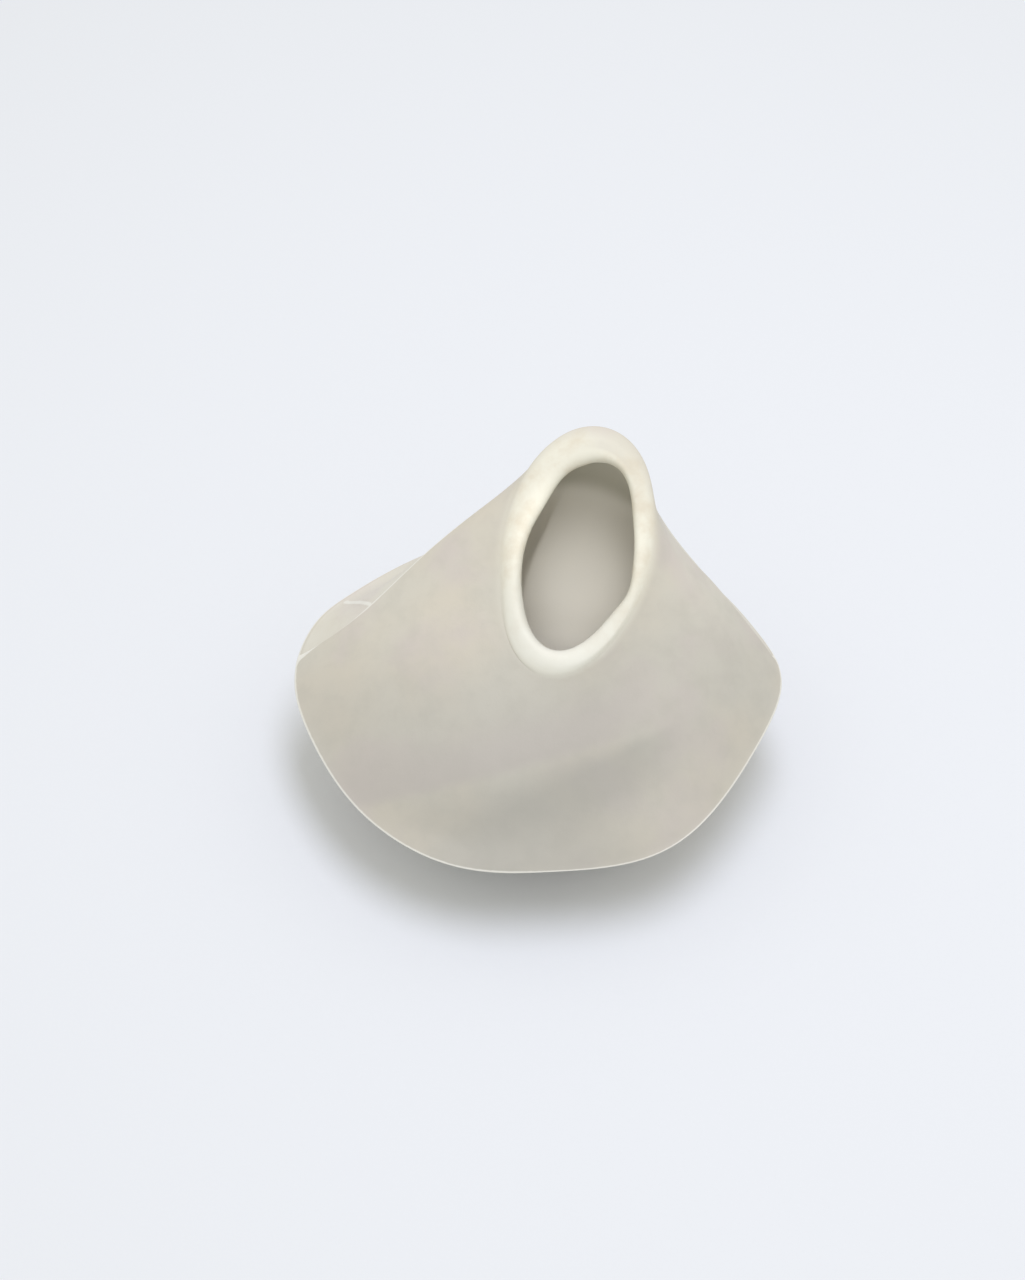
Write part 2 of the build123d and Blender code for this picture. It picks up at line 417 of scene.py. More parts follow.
class Skin:
    """The whole skin of the vase as rows of points, from under the base over the lip to the floor."""

    def __init__(self, shape):
        self.shape = shape
        edge = edge_ring()
        outer_width = MOUTH_HALF_WIDTH + shape.wall
        outer_length = MOUTH_HALF_LENGTH + shape.wall + NECK_BACK_SWELL / 2
        mouth = mouth_ring(NECK_PLANE, outer_width, outer_length)
        hill = [edge, *climb_rings(edge, mouth), mouth]
        bowl = bowl_rings(edge)
        inner_edge = edge_ring(shape.seam_width, shape.wall)
        inner_mouth = mouth_ring(MOUTH_PLANE, MOUTH_HALF_WIDTH, MOUTH_HALF_LENGTH)
        floor = bowl[0] + np.array((0, 0, BASE_THICKNESS))
        self.hill = Loft(hill)
        self.bowl = Loft(bowl)
        self.inner_hill = Loft([inner_edge, *inner_rings(hill, shape.wall), inner_mouth])
        self.inner_bowl = Loft([floor, *inner_rings(bowl, shape.wall), inner_edge])
        self.collar_half = (outer_width + COLLAR_MARGIN, outer_length + COLLAR_MARGIN)
        self.stations = np.linspace(0, len(EDGE_SHARES), DENSE_STEPS, endpoint=False)
        self.collar_level = self.find_collar()
        self.hill_surface = frame_surface("front_slab", "back_slab", "neck_collar")
        self.bowl_surface = frame_surface("base_slab", "back_slab")
        self.rows = []
        self.lay_rows()

    def find_collar(self):
        """The level at which each station's climb enters the space of the collar."""
        levels = np.linspace(0.5, 1, 260)
        station, level = np.meshgrid(self.stations, levels)
        across, along, above = NECK_PLANE.local(self.hill.at(station, level))
        oval = (across / self.collar_half[0]) ** 2 + (along / self.collar_half[1]) ** 2
        inside = (oval < 1) & (above > -COLLAR_DEPTH)
        first = levels[np.argmax(inside, 0)]
        reach = 30
        window = np.hanning(2 * reach + 1)
        padded = np.concatenate((first[-reach:], first, first[:reach]))
        return np.convolve(padded, window / window.sum(), "valid")

    def columns(self, share):
        """Stations of a hill row's columns: from the left seam round the back, then the front."""
        level = share * self.collar_level
        points = self.hill.at(self.stations, level)
        ahead = SEAM_PLANE.local(points)[2] - self.seam_swing(points, share)
        left = np.argmax(ahead < 0)
        right = left + np.argmax(ahead[left:] > 0)
        ends = []
        for index in (left, right):
            part = ahead[index - 1] / (ahead[index - 1] - ahead[index])
            ends.append(index - 1 + part)
        found = []
        step = self.shape.seam_step_width
        back_margins = (1.2 * MM, 3 * MM)
        front_margins = (0.8 * MM, 2.4 * MM)
        spans = ((ends[0], ends[1], BACK_COLUMNS, back_margins, step),
                 (ends[1], ends[0] + DENSE_STEPS, FRONT_COLUMNS, front_margins, 0))
        for start, end, count, margins, trim in spans:
            index = np.linspace(start, end, ROW_STEPS)
            stations = index * len(EDGE_SHARES) / DENSE_STEPS
            steps = np.diff(self.hill.at(stations, round_vase(level, index)), axis=0)
            gone = np.concatenate(([0], np.cumsum(np.linalg.norm(steps, axis=1))))
            places = trim + spaced(gone[-1] - 2 * trim, count, margins)
            found.append(np.interp(places, gone, index))
        return np.concatenate(found) * len(EDGE_SHARES) / DENSE_STEPS

    def seam_swing(self, points, share):
        """How far the left seam swings forward, low on the vase."""
        swing = smooth_step(share, 0, 0.26) * (1 - smooth_step(share, 0.34, 0.75))
        return np.where(points[:, 0] < 0, self.shape.seam_swing * swing, 0)

    def add(self, piece, points, glaze=0.0, pale=0.0):
        """Adds a row, with the piece of the faces between it and the row before.

        Its glaze is 0 on clay, 1 on the lip, 2 on the inside and 3 where painted shade darkens the
        inner neck under the lip.
        """
        values = [np.broadcast_to(value, len(points)) for value in (glaze, pale)]
        self.rows.append((piece, points, *values))

    def lay_rows(self):
        """Lays all rows in order."""
        edge_columns = self.columns(0)
        ones = np.ones_like(edge_columns)
        outline = self.bowl.at(edge_columns, 0 * ones)
        middle = outline.mean(0)
        joint = self.base_joint(edge_columns)
        for share in UNDER_ROWS:
            self.add("base_slab", middle + (outline - middle) * share)
        for share in BASE_ROWS:
            self.add("base_slab", self.bowl.at(edge_columns, joint * share))
        for share in BOWL_ROWS:
            level = joint + (1 - joint) * share
            self.add("back_slab", laid_on(self.bowl_surface, self.bowl, edge_columns, level)[0])
        rim = self.bowl.at(edge_columns, ones)
        # Pale line along the rim, brighter on the right: thin glaze on the edge, partly painted
        # highlight where it catches the light
        pale = 0.72 + 0.12 * smooth_step(rim[:, 0] / MM, 30, 56)
        axis = np.array((0, BOWL_AXIS_BACK, 0))
        away = (rim - axis) * (1, 1, 0)
        rim = rim + away / np.linalg.norm(away, axis=1)[:, None] * self.shape.rim_draw
        self.add("back_slab", rim, pale=pale)
        glaze = np.where(np.arange(len(ones)) <= BACK_COLUMNS, BACK_GLAZE, 0.0)
        for share in HILL_ROWS:
            top = self.columns(share)
            points = self.hill_points(top, share * self.collar_at(top), share)
            self.add("slabs", points, glaze, pale_line(share))
        collar = self.collar_at(top)
        for share in COLLAR_ROWS:
            level = collar + (1 - collar) * share
            points = laid_on(self.hill_surface, self.hill, top, level)[0]
            self.add("neck_collar", swollen(points, share), glaze=neck_glaze(points, share))
        self.lay_lip(top)
        self.lay_inside(top)
        floor = self.inner_bowl.at(edge_columns, 0 * ones)
        self.add("back_slab", floor, glaze=2.0)
        floor_middle = floor.mean(0)
        for share in FLOOR_ROWS:
            self.add("base_slab", floor_middle + (floor - floor_middle) * share, glaze=2.0)

    def lay_inside(self, top):
        """Lays the rows of the inside, with the corner under the edge eased round."""
        collar = self.collar_at(top)
        rows = []
        for share in (*COLLAR_ROWS[::-1], 0):
            rows.append(("neck_collar", self.inner_hill.at(top, collar + (1 - collar) * share)))
        for share in (*INNER_HILL_ROWS, 0):
            columns = self.columns(share)
            rows.append(("slabs", self.inner_hill.at(columns, share * self.collar_at(columns))))
        for share in INNER_BOWL_ROWS:
            rows.append(("back_slab", self.inner_bowl.at(columns, np.full_like(columns, share))))
        points = np.array([row[1] for row in rows])
        corner = slice(len(COLLAR_ROWS) + 3, -2)
        for _ in range(self.shape.inside_ease):
            eased = points.copy()
            eased[1:-1] = (points[:-2] + 2 * points[1:-1] + points[2:]) / 4
            points[corner] = eased[corner]
        for index, ((piece, _), place) in enumerate(zip(rows, points)):
            along = MOUTH_PLANE.local(place)[1] / MM
            # Painted shade on the inner neck: strongest in the first rows under the lip and towards the
            # back, where the lip shades it
            neck_shade = (1 - smooth_step(index, 1, 5.6)) * (0.25 + 0.75 * smooth_step(along, -10, 10))
            self.add(piece, place, glaze=2 + neck_shade)

    def collar_at(self, columns):
        """The collar's level at any stations."""
        scale = DENSE_STEPS / len(EDGE_SHARES)
        return round_vase(self.collar_level, columns * scale)

    def base_joint(self, columns):
        """The level at which the bowl passes the top of the base slab."""
        levels = np.linspace(0, 0.6, 240)
        station, level = np.meshgrid(columns, levels)
        heights = self.bowl.at(station, level)[..., 2]
        return levels[np.argmax(heights >= BASE_THICKNESS, 0)]

    def hill_points(self, columns, level, share):
        """Points of the hill, laid onto the frame and moved out or in at the seam and the fold."""
        points, out = laid_on(self.hill_surface, self.hill, columns, level)
        height = self.seam_height(share) + self.fold(points) * smooth_step(share, 0, 0.14)
        return points + out * height[:, None]

    def seam_height(self, share):
        """How far a row's columns stand out at the seam."""
        step = self.shape.seam_step
        height = np.zeros(BACK_COLUMNS + FRONT_COLUMNS + 2)
        fade = smooth_step(share, 0, 0.08) * (1 - smooth_step(share, 0.6, 0.95))
        edge = BACK_COLUMNS + 1
        for place, part in enumerate(FRONT_STEP):
            height[[edge + place, -1 - place]] = step * part * fade
        for place, part in enumerate(BACK_STEP):
            height[[place, BACK_COLUMNS - place]] = -step * part * fade
        return height

    def fold(self, points):
        """The soft diagonal fold across the apron: a low crest, then a dip in front of it."""
        shape = self.shape
        x, y = points[:, 0] / MM, points[:, 1] / MM
        crest_line = -41 + 0.24 * x + 0.0013 * x**2
        before = (crest_line - y) * 0.96
        fade = smooth_step(x, -62, -34) * (1 - smooth_step(x, 38, 60))
        width = shape.fold_width / MM
        dip = smooth_step(before, 0, width) * (1 - smooth_step(before, width, 1.9 * width))
        crest = bell(before, -2.5, 5)
        return shape.fold_depth * fade * (0.16 * crest - dip)

    def lay_lip(self, columns):
        """Lays the rows of the rolled lip, which is widest at the back and not quite an oval."""
        shape = self.shape
        setback = shape.lip_radius + LIP_SETBACK
        half_width = MOUTH_HALF_WIDTH + shape.wall - setback
        half_length = MOUTH_HALF_LENGTH + shape.wall - setback
        rim = self.hill.at(columns, np.ones_like(columns))
        bearing = mouth_bearing(rim, half_width, half_length)
        wave = np.sin(2 * bearing + 0.6) + 0.6 * np.sin(5 * bearing + 1.1)
        radius = shape.lip_radius * (1 + shape.lip_wave * wave)
        degrees = np.degrees(bearing)
        ripple = smooth_step(degrees, 85, 107) * (1 - smooth_step(degrees, 157, 180))
        ripple = ripple * np.cos(7.2 * (bearing - radians(107)))
        corner = bell(degrees, -14, 11)
        drawn = round_mouth(LIP_DRAWN, bearing) + shape.lip_ripple * ripple
        inner_reach = shape.lip_radius + (drawn - shape.lip_corner * corner)
        outer_reach = round_mouth(LIP_REACH, bearing)
        middle_x, middle_y = half_width * np.cos(bearing), half_length * np.sin(bearing)
        out_x, out_y = np.cos(bearing) / half_width, np.sin(bearing) / half_length
        size = np.hypot(out_x, out_y)
        sections = [("neck_collar", LIP_FOOT), *[("lip_roll", part) for part in LIP_SECTION]]
        for piece, (across, above, glaze) in sections:
            reach = across * (outer_reach if across > 0 else inner_reach) / size
            place = (middle_x + out_x * reach, middle_y + out_y * reach, above * radius)
            thin = 0.45 * bell(degrees, 75, 40) if across > 0 else 0
            self.add(piece, MOUTH_PLANE.point(*place), glaze=glaze * (1 - thin))


@contextmanager
def edit_mode():
    """Edit mode of the active object, left again afterwards."""
    bpy.ops.object.mode_set(mode="EDIT")
    yield
    bpy.ops.object.mode_set(mode="OBJECT")


def only(piece):
    """Deselects all, then selects one object and makes it active."""
    bpy.ops.object.select_all(action="DESELECT")
    piece.select_set(True)
    bpy.context.view_layer.objects.active = piece


def slab_piece(column):
    """The slab that a column's faces belong to."""
    return "back_slab" if column < BACK_COLUMNS else "front_slab"


def shape_skin(shape):
    """Wraps a grid round the rows of the skin, closes it and smooths it."""
    rows = Skin(shape).rows
    columns = len(rows[0][1])
    bpy.ops.mesh.primitive_grid_add(x_subdivisions=columns, y_subdivisions=len(rows) - 1, size=1)
    whole = bpy.context.object
    whole.name = SKIN
    mesh = whole.data
    closed = [np.concatenate((points, points[:1])) for _, points, _, _ in rows]
    mesh.vertices.foreach_set("co", np.concatenate(closed).ravel())
    for label, part in (("glaze", 2), ("pale", 3)):
        values = [np.append(row[part], row[part][0]) for row in rows]
        mesh.attributes.new(label, "FLOAT", "POINT").data.foreach_set("value", np.concatenate(values))
    for _ in PIECES:
        mesh.materials.append(None)
    numbers = []
    for piece, _, _, _ in rows[1:]:
        for column in range(columns):
            numbers.append(PIECES.index(slab_piece(column) if piece == "slabs" else piece))
    mesh.polygons.foreach_set("material_index", numbers)
    mesh.update()
    with edit_mode():
        bpy.ops.mesh.select_all(action="SELECT")
        bpy.ops.mesh.remove_doubles(threshold=MERGE_DISTANCE)
        bpy.ops.mesh.normals_make_consistent(inside=False)
    smooth = whole.modifiers.new("smooth", "SUBSURF")
    smooth.levels = shape.smooth_levels
    smooth.render_levels = shape.smooth_levels
    bpy.ops.object.modifier_apply(modifier=smooth.name)
    raise_dart(mesh, shape)
    bpy.ops.object.shade_smooth()


def raise_dart(mesh, shape):
    """Raises the short pleat in the back slab, a thin wedge from the edge to the seam."""
    count = len(mesh.vertices)
    points = np.empty(3 * count)
    mesh.vertices.foreach_get("co", points)
    points = points.reshape(-1, 3)
    normals = np.empty(3 * count)
    mesh.vertex_normals.foreach_get("vector", normals)
    start, end = np.array(DART) * MM
    run = end - start
    part = np.clip((points - start) @ run / (run @ run), 0, 1)
    away = np.linalg.norm(points - start - part[:, None] * run, axis=1)
    width = shape.dart_width * (1 - 0.5 * part)
    height = shape.dart_height * bell(away, 0, width)
    points += normals.reshape(-1, 3) * height[:, None]
    mesh.vertices.foreach_set("co", points.ravel())
    mesh.update()


def open_loops(mesh):
    """The loops of edges that only one face uses, each as a set of edge numbers."""
    used = np.empty(len(mesh.loops), np.int32)
    mesh.loops.foreach_get("edge_index", used)
    single = np.flatnonzero(np.bincount(used, minlength=len(mesh.edges)) == 1).tolist()
    edges_at = {}
    for number in single:
        for vertex in mesh.edges[number].vertices:
            edges_at.setdefault(vertex, []).append(number)
    loops = []
    waiting = set(single)
    while waiting:
        reached = [waiting.pop()]
        loop = set(reached)
        while reached:
            for vertex in mesh.edges[reached.pop()].vertices:
                for number in edges_at[vertex]:
                    if number in waiting:
                        waiting.discard(number)
                        loop.add(number)
                        reached.append(number)
        loops.append(loop)
    return loops


def loop_middle(mesh, loop):
    """The middle of a loop of edges."""
    ends = [mesh.vertices[vertex].co for number in loop for vertex in mesh.edges[number].vertices]
    return sum(ends, Vector()) / len(ends)


def bridge(piece, loops):
    """Bridges two loops of edges with faces."""
    only(piece)
    with edit_mode():
        bpy.ops.mesh.select_mode(type="EDGE")
        bpy.ops.mesh.select_all(action="DESELECT")
    for loop in loops:
        for number in loop:
            piece.data.edges[number].select = True
    with edit_mode():
        bpy.ops.mesh.bridge_edge_loops()


def cut_piece(name, finish):
    """Cuts one piece out of a copy of the skin, closes its joints and hands it to the frame."""
    whole = bpy.data.objects.get(SKIN)
    if whole is None:
        raise RuntimeError("shape the skin before its pieces are cut")
    only(whole)
    bpy.ops.object.duplicate(linked=False)
    piece = bpy.context.object
    piece.name = f"{name}_piece"
    piece.data.name = piece.name
    number = PIECES.index(name)
    with edit_mode():
        bpy.ops.mesh.select_mode(type="FACE")
        bpy.ops.mesh.select_all(action="DESELECT")
    for polygon in piece.data.polygons:
        polygon.select = polygon.material_index != number
    with edit_mode():
        bpy.ops.mesh.delete(type="FACE")
    while loops := open_loops(piece.data):
        middle = loop_middle(piece.data, loops[0])
        nearest = min(loops[1:], key=lambda loop: (loop_middle(piece.data, loop) - middle).length)
        bridge(piece, (loops[0], nearest))
    only(piece)
    with edit_mode():
        bpy.ops.mesh.select_all(action="SELECT")
        bpy.ops.mesh.normals_make_consistent(inside=False)
    bpy.ops.object.shade_smooth()
    normals = piece.modifiers.new("normals", "DATA_TRANSFER")
    normals.object = whole
    normals.use_loop_data = True
    normals.data_types_loops = {"CUSTOM_NORMAL"}
    normals.loop_mapping = "POLYINTERP_NEAREST"
    bpy.ops.object.modifier_apply(modifier=normals.name)
    piece.data.materials.clear()
    piece.data.materials.append(finish)
    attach(piece, "root")
    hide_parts(name)
    return piece


class Value:
    """A shader socket that Python's arithmetic builds Math nodes on."""

    def __init__(self, nodes, socket):
        self.nodes = nodes
        self.socket = socket

    def math(self, operation, *values):
        """A Math node on some values."""
        return self.nodes.node("Math", {"operation": operation}, dict(enumerate(values)))

    def __add__(self, other):
        return self.math("ADD", self, other)

    __radd__ = __add__

    def __sub__(self, other):
        return self.math("SUBTRACT", self, other)

    def __rsub__(self, other):
        return self.math("SUBTRACT", other, self)

    def __mul__(self, other):
        return self.math("MULTIPLY", self, other)


class Nodes:
    """A tree of shader nodes."""

    def __init__(self, tree):
        self.tree = tree

    def node(self, kind, settings, inputs, output=0):
        """Adds a node with its settings, then the values or links of its sockets."""
        made = self.tree.nodes.new(f"ShaderNode{kind}")
        for key, value in settings.items():
            setattr(made, key, value)
        for key, value in inputs.items():
            self.fill(made.inputs[key], value)
        return Value(self, made.outputs[output])

    def fill(self, socket, value):
        """Links a socket or sets its value."""
        if isinstance(value, Value):
            self.tree.links.new(value.socket, socket)
        elif socket.type == "RGBA":
            socket.default_value = (*value, 1)
        else:
            socket.default_value = value

    def mixed(self, share, low, high):
        """A colour between two others."""
        # A Mix node has its sockets for numbers and vectors before those for colours
        inputs = {0: share, 6: low, 7: high}
        return self.node("Mix", {"data_type": "RGBA"}, inputs, output=2)

    def ramp(self, value, low, high):
        """A smooth rise from 0 at low to 1 at high."""
        settings = {"interpolation_type": "SMOOTHSTEP"}
        inputs = {"Value": value, "From Min": low, "From Max": high}
        return self.node("MapRange", settings, inputs)

    def noise(self, place, scale, detail=3.0, roughness=0.5):
        """Even noise at a scale, in features per metre."""
        inputs = {"Vector": place, "Scale": scale, "Detail": detail, "Roughness": roughness}
        return self.node("TexNoise", {}, inputs)

    def attribute(self, name):
        """A value that the mesh carries."""
        return self.node("Attribute", {"attribute_name": name}, {}, output="Fac")

    def parts(self, place):
        """The three parts of a place."""
        return [self.node("SeparateXYZ", {}, {"Vector": place}, part) for part in "XYZ"]

    def vector(self, operation, first, second, output="Vector"):
        """A sum of two vectors, or another operation on them."""
        return self.node("VectorMath", {"operation": operation}, {0: first, 1: second}, output)


class Finish(Nodes):
    """A material made from nodes."""

    def __init__(self, name):
        self.material = bpy.data.materials.new(name)
        self.material.use_nodes = True
        super().__init__(self.material.node_tree)
        self.shader = self.tree.nodes["Principled BSDF"]


def apron_painted_shade(finish, place):
    """Shares of painted shade low on the apron, where it faces away from the light, and in the dip in
    front of its fold, and of a lilac tint along the fold that carries a little painted shade.
    """
    x, y, z = finish.parts(place)
    # Up a slope of 40 degrees, which the apron lies close to
    up = y * 0.766 + z * 0.643
    crest = x * 0.28 + x * x * 0.6 - 3.6 * MM
    below = crest - up
    middle = finish.ramp(x, -45 * MM, -8 * MM) * (1 - finish.ramp(x, 28 * MM, 52 * MM))
    right = finish.ramp(x, 8 * MM, 45 * MM)
    left = 1 - finish.ramp(x, -62 * MM, -28 * MM)
    low = 1 - finish.ramp(up - right * 13 * MM + left * 3 * MM, 9 * MM, 48 * MM)
    # Painted shade: the apron darker towards its lower front, which faces away from the light, less so
    # at the sides
    base = low * (0.48 - right * 0.13 - left * 0.08)
    width = 12 * MM - x * 0.22
    fall = finish.ramp(below.math("DIVIDE", below, width), -0.15, 1.0)
    back = finish.ramp(below + right * 8 * MM, 15 * MM, 34 * MM) * (0.4 + right * 0.5)
    # Painted shade in the dip in front of the fold, where the slope turns away from the light
    hollow = fall * (1 - back)
    streak = finish.ramp(below, -22 * MM, -6 * MM) * (1 - finish.ramp(below, -3 * MM, 2 * MM))
    streak = streak * (1 - finish.ramp(x, 12 * MM, 42 * MM))
    # The streak adds a little painted shade along the fold as well as its lilac tint
    return base + hollow * middle * 0.33 + streak * 0.1, streak


def dart_share(finish, place):
    """How pale the clay is on the thin wedge of the pleat in the back slab: thin glaze on its edge,
    partly painted highlight.
    """
    start, end = [Vector(point) * MM for point in DART]
    run = end - start
    offset = finish.vector("SUBTRACT", place, tuple(start))
    part = finish.vector("DOT_PRODUCT", offset, tuple(run / run.length_squared), "Value")
    held = finish.node("Clamp", {}, {"Value": part})
    spot = finish.node("VectorMath", {"operation": "SCALE"}, {0: tuple(run), "Scale": held})
    away = finish.vector("LENGTH", finish.vector("SUBTRACT", offset, spot), (0, 0, 0), "Value")
    return 1 - finish.ramp(away + held * 0.3 * MM, 0.6 * MM, 1.3 * MM)


def clay_finish(name, look):
    """Matte warm grey clay, with cream glaze where the mesh says so, pale edges that are partly thin
    glaze and partly painted highlight, and painted shade on the apron and inside the neck.
    """
    found = bpy.data.materials.get(name)
    if found:
        return found
    finish = Finish(name)
    place = finish.node("TexCoord", {}, {}, output="Object")
    broad = finish.noise(place, 26.0, detail=2.0)
    drift = finish.node("Mapping", {}, {"Vector": place, "Location": (0.31, 0.17, 0.05)})
    tint = finish.noise(drift, 38.0)
    cloud = finish.noise(place, 120.0, detail=4.0, roughness=0.6)
    grain = finish.noise(place, 2200.0, roughness=0.7)
    speck = finish.noise(place, 700.0, detail=2.0)
    body = finish.mixed(finish.ramp(broad, 0.35, 0.68), look.clay_color, look.clay_warm)
    body = finish.mixed(finish.ramp(tint, 0.46, 0.72) * 0.7, body, look.clay_lilac)
    body = finish.mixed(finish.ramp(cloud, 0.40, 0.75) * 0.35, body, look.clay_deep)
    body = finish.mixed(finish.ramp(speck, 0.62, 0.74) * 0.10, body, look.clay_deep)
    # Painted shade over the lower apron and in the hollow of its fold, with a lilac tint along the fold
    shade, streak = apron_painted_shade(finish, place)
    body = finish.mixed(streak * 0.8, body, look.clay_lilac)
    body = finish.mixed(shade + (cloud - 0.5) * 0.12, body, look.painted_shade)
    given = finish.attribute("glaze")
    ragged = given + (cloud - 0.5) * 0.4
    glazed = finish.ramp(ragged, 0.12, 0.85)
    cream = finish.mixed(finish.ramp(cloud, 0.35, 0.75), look.glaze_color, look.glaze_warm)
    height = finish.parts(place)[2]
    low = 1 - finish.ramp(height, 62 * MM, 86 * MM)
    cream = finish.mixed(low * 0.75, cream, look.glaze_pale)
    cream = finish.mixed(finish.ramp(given, 1.1, 1.9), cream, look.inside_color)
    # Painted shade inside the neck, under the lip, where the glaze value runs from 2 towards 3
    cream = finish.mixed(finish.ramp(given, 2.1, 2.9), cream, look.inner_neck_shade)
    coat = finish.mixed(glazed, body, cream)
    # Pale edges, seams and pleat: thin glaze on them, partly painted highlight where they catch the
    # light
    edge = finish.ramp(finish.attribute("pale") + (speck - 0.5) * 0.12, 0.30, 0.56)
    edge = edge.math("MAXIMUM", edge, dart_share(finish, place))
    coat = finish.mixed(edge * look.edge_strength, coat, look.edge_glaze_and_highlight)
    shader = finish.shader
    finish.fill(shader.inputs["Base Color"], coat)
    change = look.glaze_roughness - look.clay_roughness
    rough = look.clay_roughness + (cloud - 0.5) * 0.12 + glazed * change
    finish.fill(shader.inputs["Roughness"], rough)
    shader.inputs["Specular IOR Level"].default_value = 0.25
    relief = grain * 0.5 + speck * 0.5 + cloud * 2.0
    inputs = {"Height": relief * (1 - glazed * 0.8), "Strength": 0.35, "Distance": look.grain_height}
    finish.fill(shader.inputs["Normal"], finish.node("Bump", {}, inputs))
    return finish.material


def amount(name, description, default, unit="NONE"):
    """A property that is a number."""
    return FloatProperty(name=name, description=description, default=default, unit=unit)


def length(name, description, default):
    """A property that is a length."""
    return amount(name, description, default, "LENGTH")


def colour(name, description, default):
    """A property that is a colour."""
    return FloatVectorProperty(name=name, description=description, default=default, subtype="COLOR")


class VaseShape(bpy.types.PropertyGroup):
    """Sizes of the vase's slabs, seams, fold, pleat and lip."""

    wall: length("Wall", "Thickness of the clay slabs", 5 * MM)
    seam_width: length("Seam width", "Clay at the edge where the slabs join", 8 * MM)
    seam_step: length("Seam step", "How far the front slab stands over the back", 0.9 * MM)
    seam_step_width: length("Seam step width", "Width of the cut edge at the seam", 0.5 * MM)
    seam_swing: length("Seam swing", "How far the left seam swings forward", 2.8 * MM)
    rim_draw: length("Rim draw", "How far the edge is drawn out thin", 0.8 * MM)
    fold_depth: length("Fold depth", "Depth of the fold across the apron", 2.6 * MM)
    fold_width: length("Fold width", "How wide that fold is", 17 * MM)
    dart_width: length("Dart width", "Half width of the pleat by the left seam", 0.9 * MM)
    dart_height: length("Dart height", "How far that pleat stands out", 0.4 * MM)
    lip_radius: length("Lip radius", "Radius of the rolled lip", 3.3 * MM)
    lip_wave: amount("Lip wave", "Share by which the roll's thickness varies", 0.05)
    lip_ripple: length("Lip ripple", "Bumps on the lip's inner edge", 0.25 * MM)
    lip_corner: length("Lip corner", "How far the mouth runs out into its right corner", 1.3 * MM)
    inside_ease: IntProperty(
        name="Inside ease", description="How often the inside is eased", default=10)
    smooth_levels: IntProperty(
        name="Smooth levels", description="Subdivisions of the skin", default=2)


class VaseLook(bpy.types.PropertyGroup):
    """Colours and finish of clay and glaze."""

    clay_color: colour("Clay", "Main colour of the clay", linear(215, 211, 199))
    clay_warm: colour("Warm clay", "Warmer patches", linear(217, 210, 195))
    clay_lilac: colour("Lilac clay", "Pink grey patches", linear(212, 203, 197))
    clay_deep: colour("Deep clay", "Darker patches and specks", linear(201, 197, 185))
    # Colour of the painted shade on the lower apron and in the hollow of its fold
    painted_shade: colour("Shaded clay", "Greyer clay in the hollow of the apron", linear(172, 170, 163))
    glaze_color: colour("Glaze", "Cream glaze of the lip", linear(242, 239, 224))
    glaze_warm: colour("Warm glaze", "Thicker glaze", linear(230, 222, 203))
    glaze_pale: colour("Pale glaze", "Whiter glaze low on the vase", linear(248, 248, 240))
    inside_color: colour("Inside", "Thin glaze of the inside", linear(243, 239, 229))
    # Colour of the painted shade inside the neck, under the lip
    inner_neck_shade: colour("Inner neck", "Bare clay inside the neck", linear(196, 192, 177))
    # Colour of the pale edges: thin glaze, partly painted highlight
    edge_glaze_and_highlight: colour("Pale edge", "Thin glaze on edges", linear(244, 243, 236))
    edge_strength: amount("Pale edge share", "How clear pale edges are", 0.8)
    clay_roughness: amount("Clay roughness", "Roughness of the clay", 0.62)
    glaze_roughness: amount("Glaze roughness", "Roughness of the glaze", 0.7)
    grain_height: length("Grain height", "Depth of the clay's grain", 0.12 * MM)


class VaseStage(bpy.types.PropertyGroup):
    """Floor and light."""

    floor_color: colour("Floor", "Colour of the floor", linear(238, 241, 247))
    floor_size: length("Floor size", "Side of the floor", 12.0)
    key_power: amount("Key light", "Power of the overhead light", 6.1)
    key_width: length("Key width", "Width of the overhead light", 0.44)
    key_depth: length("Key depth", "Depth of the overhead light", 1.0)
    key_height: length("Key height", "Height of the overhead light", 1.2)
    key_color: colour("Key colour", "Tint of the overhead light", (0.84, 0.86, 1.0))
    sky_strength: amount("Sky light", "Strength of the even light", 0.70)
    sky_color: colour("Sky colour", "Tint of the even light", (1.0, 0.985, 0.90))
    mouth_power: amount("Mouth light", "Power of the small light on the mouth", 4.25)


class PieceOperator:
    """What the operators of the pieces share."""

    bl_options = {"REGISTER", "UNDO"}
    piece = ""
    slot = "body_clay"

    def execute(self, context):
        finish = clay_finish(f"{self.slot}_finish", context.scene.vase_look)
        made = cut_piece(self.piece, finish)
        return {"FINISHED"}


class VASE_OT_shape_skin(bpy.types.Operator):
    """Shape the whole skin of the vase, before it is cut into pieces"""

    bl_idname = "vase.shape_skin"
    bl_label = "Shape skin"

    def execute(self, context):
        shape_skin(context.scene.vase_shape)
        return {"FINISHED"}


class VASE_OT_base_slab(PieceOperator, bpy.types.Operator):
    """Cut the flat base slab"""

    bl_idname = "vase.base_slab"
    bl_label = "Base slab"
    piece = "base_slab"


class VASE_OT_back_slab(PieceOperator, bpy.types.Operator):
    """Cut the slab of the underside and back"""

    bl_idname = "vase.back_slab"
    bl_label = "Back slab"
    piece = "back_slab"


class VASE_OT_front_slab(PieceOperator, bpy.types.Operator):
    """Cut the apron"""

    bl_idname = "vase.front_slab"
    bl_label = "Front slab"
    piece = "front_slab"


class VASE_OT_neck_collar(PieceOperator, bpy.types.Operator):
    """Cut the collar that carries the lip"""

    bl_idname = "vase.neck_collar"
    bl_label = "Neck collar"
    piece = "neck_collar"


class VASE_OT_lip_roll(PieceOperator, bpy.types.Operator):
    """Cut the rolled and glazed lip"""

    bl_idname = "vase.lip_roll"
    bl_label = "Lip roll"
    piece = "lip_roll"
    slot = "lip_glaze"


